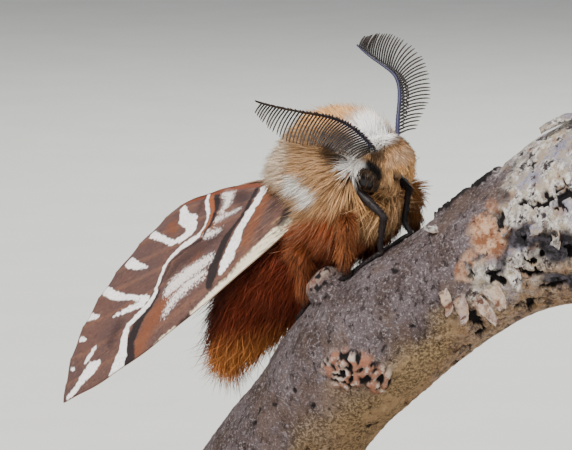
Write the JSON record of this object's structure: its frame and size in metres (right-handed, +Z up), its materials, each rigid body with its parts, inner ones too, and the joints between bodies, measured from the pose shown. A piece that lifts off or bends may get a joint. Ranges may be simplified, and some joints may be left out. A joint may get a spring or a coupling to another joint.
{
  "type": "kentish glory moth",
  "caption": "Male kentish glory moth with feathered feelers and roofed wings, gripping a short cut branch on a plain stand.",
  "frame": {"origin": "centre of the underside of the stand's base", "axes": "+Z up; +X along the base's long side, towards the branch's high end; the picture looks along +Y"},
  "size_m": [0.0527, 0.0463, 0.0513],
  "materials": {
    "thorax_coat": "long soft golden-brown coat of hair scales",
    "head_coat": "long soft pale and golden coat of hair scales",
    "abdomen_coat": "long soft rust-red coat of hair scales",
    "forewing_scales": "matt chestnut wing scales with white bands and spots",
    "hindwing_scales": "matt orange-brown wing scales",
    "feeler": "matt black horny feelers",
    "eye": "shiny black compound eyes",
    "leg": "matt black scaled legs",
    "bark": "rough grey bark with lichen",
    "stand_wood": "satin oiled wood",
    "stand_metal": "satin steel"
  },
  "bodies": {
    "root": {"thorax": "thorax_coat", "head": "head_coat", "abdomen": "abdomen_coat", "forewing_right": "forewing_scales", "forewing_left": "forewing_scales", "hindwing_right": "hindwing_scales", "hindwing_left": "hindwing_scales", "antenna_right": "feeler", "antenna_left": "feeler", "eye_right": "eye", "eye_left": "eye", "leg_fore_right": "leg", "leg_fore_left": "leg", "leg_mid_right": "leg", "leg_mid_left": "leg", "leg_hind_right": "leg", "leg_hind_left": "leg", "perch_branch": "bark", "stand_base": "stand_wood", "stand_rod": "stand_metal"}
  },
  "joints": []
}
